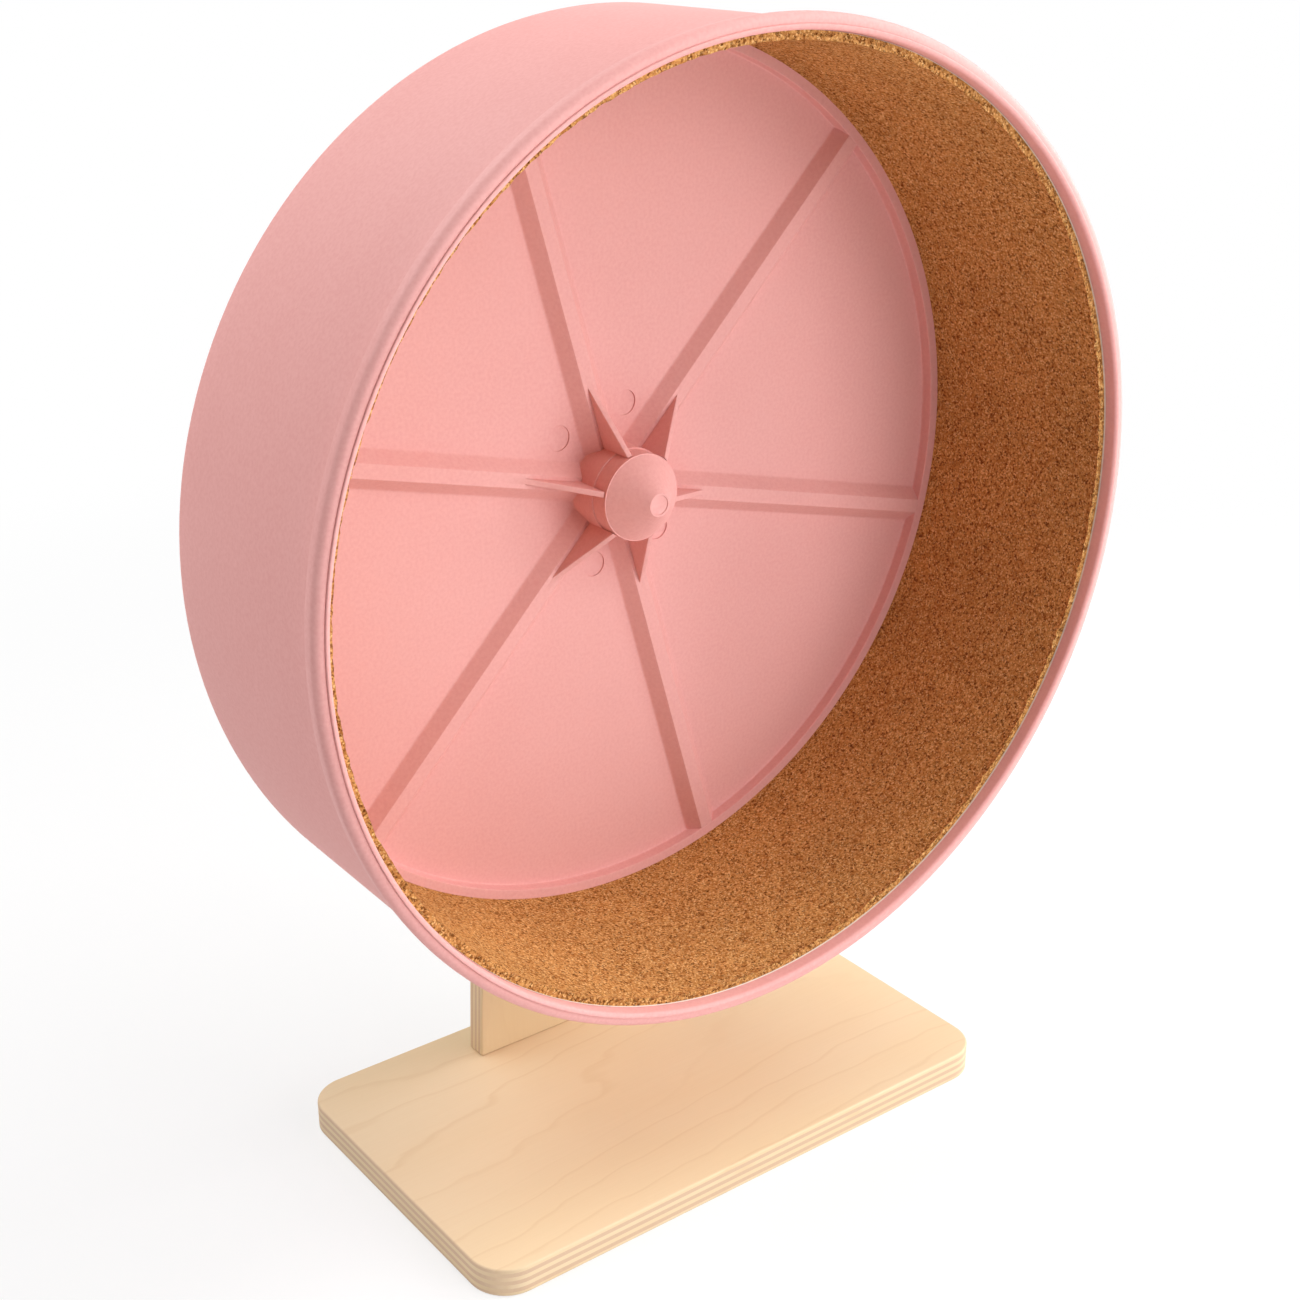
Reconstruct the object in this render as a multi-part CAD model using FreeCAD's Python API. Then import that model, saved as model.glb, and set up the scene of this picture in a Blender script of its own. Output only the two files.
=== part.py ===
import FreeCAD, Part
import math
import os

# A free-standing exercise wheel. A moulded drum lined with cork turns on two ball bearings,
# on an axle bolt held by a plywood upright, which is screwed to a plywood base.
# Millimetres, +Z up, origin at the centre of the base's underside. The axle lies along Y,
# and the drum's open face looks towards -Y.

# Base plate, birch plywood
base_length = 204.0
base_width = 118.4
base_thickness = 9.8
base_corner_radius = 13.0
plywood_edge_round = 0.7

# Upright, birch plywood, narrowing from its foot to a round top about the axle
upright_thickness = 8.0
upright_foot_width = 85.6
upright_top_radius = 33.5
upright_inset = 11.0
rim_clearance_below = 59.7

# Wood screws through the base into the upright's foot
screw_count = 3
screw_edge_distance = 13.8
screw_length = 35.0
screw_shank_diameter = 3.5
screw_head_diameter = 7.0
screw_tip_length = 4.0
screw_head_recess = 0.4
screw_hole_clearance = 0.2
screw_drive_width = 1.0
screw_drive_depth = 1.1

# Axle bolt, nuts, washers and the tubes between them
axle_diameter = 8.0
axle_hole_clearance = 0.2
hex_wall = 2.5
bolt_head_height = 5.3
nut_height = 6.5
bolt_stub_length = 1.2
washer_diameter = 24.0
washer_thickness = 1.6
sleeve_wall = 1.7
sleeve_length = 6.1
shim_thickness = 1.0

# Shielded ball bearings, 8 x 22 x 7 with these balls, walls and shields
bearing_spacing = 3.7
bearing_edge_round = 0.3
ball_count = 7
ball_diameter = 3.97
ball_clearance = 0.05
race_wall = 1.465
race_shoulder_height = 0.6
shield_thickness = 0.4
shield_recess = 0.3
shield_gap = 0.3
cage_thickness = 1.2
cage_web = 0.435
cage_gap = 0.3
cage_lip = 0.9
cage_pocket_clearance = 0.08

# Drum wall, which opens by its draft towards the mouth, and its front rim:
# a crest round the mouth, with a rounded bead outside it
rim_diameter = 292.0
rim_bead_height = 2.05
rim_bead_width = 5.6
rim_bead_round = 1.8
rim_bead_back_round = 0.8
rim_crest_width = 2.0
rim_crest_height = 0.5
rim_crest_round = 1.4
rim_crest_edge_round = 0.3
wall_thickness = 2.6
wall_draft = 0.75
drum_back_round = 2.4

# Back disc with raised spokes and a raised ledge at its edge, hollow behind.
# The bays between the spokes have ejector marks, apart from every third one
disc_thickness = 2.2
spoke_count = 6
spoke_height = 4.2
spoke_top_width = 4.5
spoke_base_width = 12.1
spoke_rest_angle = -14.1
ledge_width = 5.4
ejector_mark_diameter = 8.1
ejector_mark_depth = 0.45
ejector_mark_gap = 7.75
ejector_bare_bay = 3

# Hub boss, its gussets and the cone cap that closes it
hub_wall = 2.8
hub_front_length = 16.7
hub_step_height = 0.4
hub_step_setback = 6.0
hub_shoulder_height = 2.0
axle_nut_proud = 2.5
rear_bearing_recess = 1.5
gusset_length = 21.0
gusset_thickness = 1.8
cap_height = 9.6
cap_tip_diameter = 7.4
cap_tip_rim = 0.7
cap_tip_recess = 0.3
cap_wall = 1.8
cap_skirt_gap = 1.5
cap_skirt_wall = 1.4

# Cork liner on the running track, held by a film of tape, with a butt seam
track_width = 72.5
track_setback = 4.8
liner_thickness = 2.0
tape_thickness = 0.2
liner_seam_gap = 0.4
liner_seam_angle = 160.0

# Radii that the pieces share
axle_radius = axle_diameter / 2
sleeve_inner_radius = axle_radius + axle_hole_clearance
sleeve_radius = sleeve_inner_radius + sleeve_wall
hex_across_flats = axle_diameter + 2 * hex_wall
ball_radius = ball_diameter / 2
groove_radius = ball_radius + ball_clearance
pocket_radius = ball_radius + cage_pocket_clearance
pitch_radius = axle_radius + race_wall + groove_radius
bearing_radius = pitch_radius + groove_radius + race_wall
inner_land_radius = pitch_radius - groove_radius + race_shoulder_height
outer_land_radius = pitch_radius + groove_radius - race_shoulder_height
rim_radius = rim_diameter / 2
wall_outer_radius = rim_radius - rim_bead_height - wall_draft
wall_inner_radius = wall_outer_radius - wall_thickness
ledge_inner_radius = wall_inner_radius - ledge_width
hub_radius = bearing_radius + hub_wall
hub_root_radius = hub_radius + hub_step_height
hub_bore_radius = bearing_radius - hub_shoulder_height
gusset_tip_radius = hub_radius + gusset_length
ejector_mark_offset = hub_root_radius + ejector_mark_gap + ejector_mark_diameter / 2
axle_height = base_thickness + rim_clearance_below + rim_radius

# Places along Y, worked out from the upright forwards through the stack on the axle
bearing_width = 2 * (pocket_radius + cage_web + cage_gap + shield_thickness + shield_recess)
front_bearing_recess = shim_thickness + nut_height - axle_nut_proud
cap_skirt_length = front_bearing_recess - cap_skirt_gap
upright_rear_y = base_width / 2 - upright_inset
upright_front_y = upright_rear_y - upright_thickness
upright_middle_y = upright_rear_y - upright_thickness / 2
bolt_head_y = upright_rear_y + washer_thickness
front_washer_y = upright_front_y - washer_thickness
clamp_nut_y = front_washer_y - nut_height
rear_bearing_back_y = clamp_nut_y - sleeve_length
rear_bearing_front_y = rear_bearing_back_y - bearing_width
front_bearing_back_y = rear_bearing_front_y - bearing_spacing
front_bearing_front_y = front_bearing_back_y - bearing_width
axle_shim_y = front_bearing_front_y - shim_thickness
axle_nut_y = axle_shim_y - nut_height
bolt_end_y = axle_nut_y - bolt_stub_length
hub_rear_y = rear_bearing_back_y + rear_bearing_recess
hub_front_y = front_bearing_front_y - front_bearing_recess
hub_step_y = hub_front_y + hub_step_setback
cap_tip_y = hub_front_y - cap_height
panel_y = hub_front_y + hub_front_length
drum_back_y = panel_y + disc_thickness
spoke_top_y = panel_y - spoke_height
hollow_floor_y = spoke_top_y + disc_thickness
liner_front_y = spoke_top_y - track_width
rim_front_y = liner_front_y - track_setback
bead_front_y = rim_front_y + rim_crest_height
bead_back_y = bead_front_y + rim_bead_width

X_AXIS = FreeCAD.Vector(1, 0, 0)
Y_AXIS = FreeCAD.Vector(0, 1, 0)
Z_AXIS = FreeCAD.Vector(0, 0, 1)
AXLE_POINT = FreeCAD.Vector(0, 0, axle_height)
FULL_TURN = 360.0


def corner_arc(before, corner, after, radius):
    """Tangent arc that rounds a profile corner: its start, middle and end points."""
    to_before = (before - corner).normalize()
    to_after = (after - corner).normalize()
    half_angle = to_before.getAngle(to_after) / 2
    reach = radius / math.tan(half_angle)
    bisector = (to_before + to_after).normalize()
    middle = corner + bisector * (radius / math.sin(half_angle) - radius)
    return corner + to_before * reach, middle, corner + to_after * reach


def profile_wire(corners):
    """Closed wire through corner points. A corner is (x, y, z), or that with a rounding radius."""
    points = [FreeCAD.Vector(*corner[:3]) for corner in corners]
    radii = [corner[3] if len(corner) > 3 else 0.0 for corner in corners]
    count = len(points)
    edges = []
    starts = []
    ends = []
    arcs = []
    for i in range(count):
        if radii[i] > 0:
            start, middle, end = corner_arc(points[i - 1], points[i], points[(i + 1) % count], radii[i])
            arcs.append(Part.Arc(start, middle, end).toShape())
        else:
            start = points[i]
            end = points[i]
            arcs.append(None)
        starts.append(start)
        ends.append(end)
    for i in range(count):
        if arcs[i]:
            edges.append(arcs[i])
        edges.append(Part.LineSegment(ends[i], starts[(i + 1) % count]).toShape())
    return Part.Wire(edges)


def turned(corners):
    """Solid of revolution about the axle. A corner is (radius, y), or that with a rounding radius."""
    placed = [(corner[0], corner[1], axle_height, *corner[2:]) for corner in corners]
    return Part.Face(profile_wire(placed)).revolve(AXLE_POINT, Y_AXIS, FULL_TURN)


def tube(inner_radius, outer_radius, front_y, back_y, edge_round=0.0):
    """Plain ring about the axle, with its outer edges rounded."""
    corners = [
        (inner_radius, front_y),
        (outer_radius, front_y, edge_round),
        (outer_radius, back_y, edge_round),
        (inner_radius, back_y),
    ]
    return turned(corners)


def prism(corners, direction):
    """Straight prism on a flat outline."""
    return Part.Face(profile_wire(corners)).extrude(direction)


def at_angle(shape, angle):
    """Copy of a shape that was made along +X, turned about the axle from +X towards +Z."""
    copy = shape.copy()
    copy.rotate(AXLE_POINT, Y_AXIS, -angle)
    return copy


def around_axle(shape, count, first_angle):
    """Copies of a shape, evenly spaced about the axle."""
    return [at_angle(shape, first_angle + i * FULL_TURN / count) for i in range(count)]


def hexagon(plain_y, chamfered_y):
    """Hexagon prism about the axle, with the corners of one end turned off at 30 degrees."""
    flat_radius = hex_across_flats / 2
    corner_radius = hex_across_flats / math.sqrt(3)
    drop = (corner_radius - flat_radius) * math.tan(math.radians(30))
    corners = []
    for i in range(6):
        angle = math.radians(i * 60)
        x = corner_radius * math.cos(angle)
        z = axle_height + corner_radius * math.sin(angle)
        corners.append((x, plain_y, z))
    block = prism(corners, Y_AXIS * (chamfered_y - plain_y))
    turned_blank = turned([
        (0, chamfered_y),
        (flat_radius, chamfered_y),
        (corner_radius, chamfered_y + math.copysign(drop, plain_y - chamfered_y)),
        (corner_radius, plain_y),
        (0, plain_y),
    ])
    return block.common(turned_blank)


def spoke_half_width(y):
    """Half the width of a spoke's section at a depth, on the straight slope of its sides."""
    slope = (spoke_base_width - spoke_top_width) / 2 / spoke_height
    return spoke_top_width / 2 + slope * (y - spoke_top_y)


def spoke_section(x, top_y, base_y, inset):
    """Trapezoid across a spoke, in the plane at one distance from the axle."""
    top = spoke_half_width(top_y) - inset
    base = spoke_half_width(base_y) - inset
    return [
        (x, top_y, axle_height - top),
        (x, top_y, axle_height + top),
        (x, base_y, axle_height + base),
        (x, base_y, axle_height - base),
    ]


def spoke():
    """Raised spoke from inside the hub's wall to inside the ledge."""
    start = (bearing_radius + hub_radius) / 2
    end = (ledge_inner_radius + wall_inner_radius) / 2
    return prism(spoke_section(start, spoke_top_y, panel_y, 0), X_AXIS * (end - start))


def spoke_hollow():
    """Channel behind a spoke that leaves its walls as thick as the disc."""
    start = hub_root_radius + disc_thickness
    end = wall_inner_radius - (ledge_width - disc_thickness) / 2
    slope = (spoke_base_width - spoke_top_width) / 2 / spoke_height
    inset = disc_thickness * math.sqrt(1 + slope * slope)
    section = spoke_section(start, hollow_floor_y, drum_back_y, inset)
    return prism(section, X_AXIS * (end - start))


def gusset():
    """Thin triangle that stands on a spoke and braces the hub up to its front edge."""
    root = (bearing_radius + hub_radius) / 2
    foot_y = (spoke_top_y + panel_y) / 2
    low_z = axle_height - gusset_thickness / 2
    corners = [
        (root, hub_front_y, low_z),
        (hub_radius, hub_front_y, low_z),
        (gusset_tip_radius, spoke_top_y, low_z),
        (gusset_tip_radius, foot_y, low_z),
        (root, foot_y, low_z),
    ]
    return prism(corners, Z_AXIS * gusset_thickness)


def wall_flare(y):
    """How far the wall has opened at a depth: nothing at the track's back, the full draft at the rim."""
    return wall_draft * (spoke_top_y - y) / (spoke_top_y - rim_front_y)


def wheel_drum():
    """Wall, rim, disc, spokes, hub and gussets, moulded in one piece."""
    mouth_radius = wall_inner_radius + wall_draft
    crest_radius = mouth_radius + rim_crest_width
    bead_back_round = min(rim_bead_back_round, rim_bead_height / 2)
    bead_front_round = min(rim_bead_round, rim_radius - crest_radius, rim_bead_width - bead_back_round)
    crest_edge_round = min(rim_crest_edge_round, rim_crest_height)
    crest_round = min(rim_crest_round, rim_crest_width - crest_edge_round)
    body = turned([
        (wall_inner_radius, spoke_top_y),
        (mouth_radius, rim_front_y, crest_round),
        (crest_radius, rim_front_y, crest_edge_round),
        (crest_radius, bead_front_y),
        (rim_radius, bead_front_y, bead_front_round),
        (rim_radius, bead_back_y, bead_back_round),
        (wall_outer_radius + wall_flare(bead_back_y), bead_back_y, bead_back_round),
        (wall_outer_radius + wall_flare(drum_back_y), drum_back_y, min(drum_back_round, wall_thickness)),
        (wall_inner_radius, drum_back_y),
        (wall_inner_radius, hollow_floor_y),
        (ledge_inner_radius + disc_thickness, hollow_floor_y),
        (ledge_inner_radius + disc_thickness, drum_back_y),
        (hub_root_radius, drum_back_y),
        (hub_root_radius, hub_rear_y),
        (bearing_radius, hub_rear_y),
        (bearing_radius, rear_bearing_front_y),
        (hub_bore_radius, rear_bearing_front_y),
        (hub_bore_radius, front_bearing_back_y),
        (bearing_radius, front_bearing_back_y),
        (bearing_radius, hub_front_y),
        (hub_radius, hub_front_y),
        (hub_radius, hub_step_y),
        (hub_root_radius, hub_step_y),
        (hub_root_radius, panel_y),
        (ledge_inner_radius, panel_y),
        (ledge_inner_radius, spoke_top_y),
    ])
    spokes = around_axle(spoke(), spoke_count, spoke_rest_angle)
    gussets = around_axle(gusset(), spoke_count, spoke_rest_angle)
    hollows = around_axle(spoke_hollow(), spoke_count, spoke_rest_angle)
    mark_point = FreeCAD.Vector(ejector_mark_offset, panel_y, axle_height)
    mark = Part.makeCylinder(ejector_mark_diameter / 2, ejector_mark_depth, mark_point, Y_AXIS)
    bays = around_axle(mark, spoke_count, spoke_rest_angle + FULL_TURN / spoke_count / 2)
    marks = [mark for number, mark in enumerate(bays) if number % ejector_bare_bay]
    return body.fuse(spokes + gussets).cut(hollows + marks).removeSplitter()


def hub_cap():
    """Hollow cone with a shallow round recess in its tip and a skirt that presses into the hub."""
    slope = (hub_radius - cap_tip_diameter / 2) / cap_height
    wall_across = cap_wall * math.sqrt(1 + slope * slope)
    skirt_inner_radius = bearing_radius - cap_skirt_wall
    inside_top_y = cap_tip_y + cap_wall
    inside_top_radius = cap_tip_diameter / 2 + slope * cap_wall - wall_across
    inside_base_y = cap_tip_y + (skirt_inner_radius + wall_across - cap_tip_diameter / 2) / slope
    recess_radius = cap_tip_diameter / 2 - cap_tip_rim
    return turned([
        (0, cap_tip_y + cap_tip_recess),
        (recess_radius, cap_tip_y + cap_tip_recess),
        (recess_radius, cap_tip_y),
        (cap_tip_diameter / 2, cap_tip_y),
        (hub_radius, hub_front_y),
        (bearing_radius, hub_front_y),
        (bearing_radius, hub_front_y + cap_skirt_length),
        (skirt_inner_radius, hub_front_y + cap_skirt_length),
        (skirt_inner_radius, inside_base_y),
        (inside_top_radius, inside_top_y),
        (0, inside_top_y),
    ])


def lining(near, far):
    """Layer on the running track between two distances from the wall, open at the seam."""
    mouth_radius = wall_inner_radius + wall_flare(liner_front_y)
    ring = turned([
        (mouth_radius - far, liner_front_y),
        (mouth_radius - near, liner_front_y),
        (wall_inner_radius - near, spoke_top_y),
        (wall_inner_radius - far, spoke_top_y),
    ])
    seam_corner = FreeCAD.Vector(0, liner_front_y, axle_height - liner_seam_gap / 2)
    seam = Part.makeBox(rim_radius, track_width, liner_seam_gap, seam_corner)
    return ring.cut(at_angle(seam, liner_seam_angle))


def ball_groove(middle_y):
    """Ring-shaped groove that the balls of one bearing run in."""
    return Part.makeTorus(pitch_radius, groove_radius, FreeCAD.Vector(0, middle_y, axle_height), Y_AXIS)


def bearing(name, front_y):
    """All pieces of one ball bearing, as a dictionary of named shapes."""
    back_y = front_y + bearing_width
    middle_y = front_y + bearing_width / 2
    groove = ball_groove(middle_y)
    outer = tube(outer_land_radius, bearing_radius, front_y, back_y, bearing_edge_round)
    inner = tube(axle_radius, inner_land_radius, front_y, back_y, bearing_edge_round)
    shield_inner_radius = inner_land_radius + shield_gap
    front_shield_y = front_y + shield_recess
    back_shield_y = back_y - shield_recess - shield_thickness
    ball = Part.makeSphere(ball_radius, FreeCAD.Vector(pitch_radius, middle_y, axle_height))
    pocket_point = FreeCAD.Vector(pitch_radius - ball_radius, middle_y, axle_height)
    pocket = Part.makeCylinder(pocket_radius, ball_diameter, pocket_point, X_AXIS)
    cage_inner_radius = pitch_radius - cage_thickness / 2
    cage_back_y = middle_y + pocket_radius + cage_web
    cage = tube(cage_inner_radius, cage_inner_radius + cage_thickness, middle_y - cage_lip, cage_back_y)
    return {
        name + "_outer_ring": outer.cut(groove),
        name + "_inner_ring": inner.cut(groove),
        name + "_balls": Part.makeCompound(around_axle(ball, ball_count, 0)),
        name + "_cage": cage.cut(around_axle(pocket, ball_count, 0)),
        name + "_front_shield": tube(
            shield_inner_radius, outer_land_radius, front_shield_y, front_shield_y + shield_thickness),
        name + "_rear_shield": tube(
            shield_inner_radius, outer_land_radius, back_shield_y, back_shield_y + shield_thickness),
    }


def axle_bolt():
    """Hexagon bolt from behind the upright to the nut under the hub cap."""
    shank = turned([
        (0, bolt_end_y),
        (axle_radius - bolt_stub_length / 2, bolt_end_y),
        (axle_radius, bolt_end_y + bolt_stub_length / 2),
        (axle_radius, bolt_head_y),
        (0, bolt_head_y),
    ])
    head = hexagon(bolt_head_y, bolt_head_y + bolt_head_height)
    return shank.fuse(head).removeSplitter()


def nut(front_y):
    """Hexagon nut on the axle bolt."""
    bore = tube(0, axle_radius, front_y, front_y + nut_height)
    return hexagon(front_y + nut_height, front_y).cut(bore)


def washer(front_y):
    """Flat washer round the axle bolt."""
    hole_radius = axle_radius + axle_hole_clearance
    return tube(hole_radius, washer_diameter / 2, front_y, front_y + washer_thickness)


def screw_places():
    """X of each wood screw, evenly spaced about the middle of the upright's foot."""
    last = upright_foot_width / 2 - screw_edge_distance
    spacing = 2 * last / (screw_count - 1)
    return [i * spacing - last for i in range(screw_count)]


def screw_shape(clearance, top_z):
    """Countersunk screw body about Z, widened by a clearance, up to a height."""
    shank = screw_shank_diameter / 2 + clearance
    head = screw_head_diameter / 2 + clearance
    head_top_z = screw_head_recess + head - shank
    corners = [
        (0, 0, screw_head_recess),
        (head, 0, screw_head_recess),
        (shank, 0, head_top_z),
        (shank, 0, top_z),
        (0, 0, top_z),
    ]
    return Part.Face(profile_wire(corners)).revolve(FreeCAD.Vector(0, 0, 0), Z_AXIS, FULL_TURN)


def base_screws():
    """The wood screws, each with a pointed tip and a cross recess in its head."""
    tip_z = screw_head_recess + screw_length
    neck_z = tip_z - screw_tip_length
    tip = Part.makeCone(screw_shank_diameter / 2, 0, screw_tip_length, FreeCAD.Vector(0, 0, neck_z))
    arm = screw_head_diameter / 4
    slot = screw_drive_width / 2
    drive = []
    for half_x, half_y in ((arm, slot), (slot, arm)):
        corner = FreeCAD.Vector(-half_x, -half_y, screw_head_recess)
        drive.append(Part.makeBox(2 * half_x, 2 * half_y, screw_drive_depth, corner))
    screw = screw_shape(0, neck_z).fuse(tip).cut(drive).removeSplitter()
    copies = []
    for x in screw_places():
        placed = screw.copy()
        placed.translate(FreeCAD.Vector(x, upright_middle_y, 0))
        copies.append(placed)
    return Part.makeCompound(copies)


def is_vertical(edge):
    """True for a straight edge along Z."""
    return edge.tangentAt(edge.FirstParameter).cross(Z_AXIS).Length < 0.5


def base_plate():
    """Plywood base with rounded corners, eased edges and countersunk screw holes."""
    corner_point = FreeCAD.Vector(-base_length / 2, -base_width / 2, 0)
    plate = Part.makeBox(base_length, base_width, base_thickness, corner_point)
    plate = plate.makeFillet(base_corner_radius, [edge for edge in plate.Edges if is_vertical(edge)])
    rims = [face for face in plate.Faces if abs(face.normalAt(0, 0).z) > 0.5]
    plate = plate.makeFillet(plywood_edge_round, rims[0].Edges + rims[1].Edges)
    holes = []
    for x in screw_places():
        place = FreeCAD.Vector(x, upright_middle_y, 0)
        hole = screw_shape(screw_hole_clearance, base_thickness)
        hole.translate(place)
        mouth_radius = screw_head_diameter / 2 + screw_hole_clearance
        holes += [hole, Part.makeCylinder(mouth_radius, screw_head_recess, place)]
    return plate.cut(holes)


def upright_plate():
    """Plywood upright: a foot, straight tapering sides and a round top about the axle."""
    half_foot = upright_foot_width / 2
    rise = axle_height - base_thickness
    foot_to_axle = math.hypot(half_foot, rise)
    lean = math.asin(upright_top_radius / foot_to_axle) - math.atan2(half_foot, rise)
    side_x = upright_top_radius * math.cos(lean)
    side_z = axle_height - upright_top_radius * math.sin(lean)
    left_foot = FreeCAD.Vector(-half_foot, upright_front_y, base_thickness)
    right_foot = FreeCAD.Vector(half_foot, upright_front_y, base_thickness)
    left_side = FreeCAD.Vector(-side_x, upright_front_y, side_z)
    right_side = FreeCAD.Vector(side_x, upright_front_y, side_z)
    top = FreeCAD.Vector(0, upright_front_y, axle_height + upright_top_radius)
    outline = Part.Wire([
        Part.LineSegment(left_foot, right_foot).toShape(),
        Part.LineSegment(right_foot, right_side).toShape(),
        Part.Arc(right_side, top, left_side).toShape(),
        Part.LineSegment(left_side, left_foot).toShape(),
    ])
    plate = Part.Face(outline).extrude(Y_AXIS * upright_thickness)
    eased = []
    for edge in plate.Edges:
        middle = edge.valueAt((edge.FirstParameter + edge.LastParameter) / 2)
        on_face = min(abs(middle.y - upright_front_y), abs(middle.y - upright_rear_y)) < plywood_edge_round
        if on_face and middle.z > base_thickness + plywood_edge_round:
            eased.append(edge)
    plate = plate.makeFillet(plywood_edge_round, eased)
    holes = [tube(0, axle_radius + axle_hole_clearance, upright_front_y, upright_rear_y)]
    pilot_depth = screw_head_recess + screw_length - base_thickness
    for x in screw_places():
        place = FreeCAD.Vector(x, upright_middle_y, base_thickness)
        holes.append(Part.makeCylinder(screw_shank_diameter / 2, pilot_depth, place))
    return plate.cut(holes)


nodes = {
    "base_plate": base_plate(),
    "upright_plate": upright_plate(),
    "base_screws": base_screws(),
    "axle_bolt": axle_bolt(),
    "rear_washer": washer(upright_rear_y),
    "front_washer": washer(front_washer_y),
    "clamp_nut": nut(clamp_nut_y),
    "axle_sleeve": tube(sleeve_inner_radius, sleeve_radius, rear_bearing_back_y, clamp_nut_y),
    "bearing_spacer": tube(sleeve_inner_radius, sleeve_radius, front_bearing_back_y, rear_bearing_front_y),
    "axle_shim": tube(sleeve_inner_radius, sleeve_radius, axle_shim_y, front_bearing_front_y),
    "axle_nut": nut(axle_nut_y),
    "wheel_drum": wheel_drum(),
    "hub_cap": hub_cap(),
    "cork_liner": lining(tape_thickness, tape_thickness + liner_thickness),
    "liner_tape": lining(0, tape_thickness),
}
nodes.update(bearing("front_bearing", front_bearing_front_y))
nodes.update(bearing("rear_bearing", rear_bearing_front_y))

os.makedirs("parts", exist_ok=True)
for name, shape in nodes.items():
    shape.exportStep("parts/" + name + ".step")
    print(name, "solids", len(shape.Solids), "valid", shape.isValid(), "volume", round(shape.Volume, 2))
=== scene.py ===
# %% [markdown]
# A running wheel for a small rodent: a moulded pink drum, lined with cork, turns on an axle bolt that a
# little plywood stand holds. The bare model already gives each piece its size and place, so a scene could
# simply paint it. Here the pieces that catch the eye are worked out again as finer surfaces around those
# same places, because soft edges and true materials are what make a picture look real.

# %% Load the bare model
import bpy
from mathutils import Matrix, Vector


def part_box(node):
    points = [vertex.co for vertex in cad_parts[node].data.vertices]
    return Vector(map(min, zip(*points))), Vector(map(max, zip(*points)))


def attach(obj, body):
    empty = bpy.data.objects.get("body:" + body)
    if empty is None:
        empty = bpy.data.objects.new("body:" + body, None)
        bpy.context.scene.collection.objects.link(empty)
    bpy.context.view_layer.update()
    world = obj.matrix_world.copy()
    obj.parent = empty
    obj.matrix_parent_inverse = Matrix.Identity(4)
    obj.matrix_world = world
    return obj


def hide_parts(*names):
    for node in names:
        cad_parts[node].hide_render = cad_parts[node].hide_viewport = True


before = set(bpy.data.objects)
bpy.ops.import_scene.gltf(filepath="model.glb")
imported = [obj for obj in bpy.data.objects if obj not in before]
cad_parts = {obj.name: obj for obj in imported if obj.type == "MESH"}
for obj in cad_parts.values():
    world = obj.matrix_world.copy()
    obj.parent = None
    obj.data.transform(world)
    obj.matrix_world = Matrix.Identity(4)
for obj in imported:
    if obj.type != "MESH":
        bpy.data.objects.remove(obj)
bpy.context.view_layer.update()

# %% [markdown]
# Everything that turns shares one axle, so the axle's height and the main radii are read from the model
# once. Typing them from a drawing would work too, but measured places stay right if the model changes.
# Only the small roundings and steps that a box can't tell are written as sizes, in millimetres.

# %% Shared places
import math

import bmesh
import bpy
import numpy as np
from mathutils import Matrix

MM = 0.001
TURN = 2 * np.pi
X, Y, Z = range(3)


def outer_radius(node):
    """Half the width of a piece that is turned about the axle."""
    low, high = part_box(node)
    return (high.x - low.x) / 2


drum_low, drum_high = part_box("wheel_drum")
cork_low, cork_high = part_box("cork_liner")
axle_z = (drum_low.z + drum_high.z) / 2
rim_radius = outer_radius("wheel_drum")
hub_radius = outer_radius("hub_cap")
bearing_radius = outer_radius("front_bearing_outer_ring")
print("axle height", round(axle_z / MM, 2), "mm, rim radius", round(rim_radius / MM, 2), "mm")

# %% The wall opens towards the front
wall_draft = 0.75 * MM


def flare(y):
    """How far the drum's wall has opened at a depth: nothing at the track's back, all its draft in front."""
    return wall_draft * (cork_high.y - y) / (cork_high.y - drum_low.y)


wall_radius = outer_radius("liner_tape") - flare(cork_low.y)
print("the wall's inside has a radius of", round(wall_radius / MM, 2), "mm at the back")

# %% [markdown]
# Finishes come first. A material could be wired by hand in the node editor, one box at a time, and that
# gets hard to read. This small class wraps a node's output instead, so that shader maths is ordinary
# arithmetic: an expression such as 1 - mask adds its own Math node, and one method makes any other node.


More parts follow.
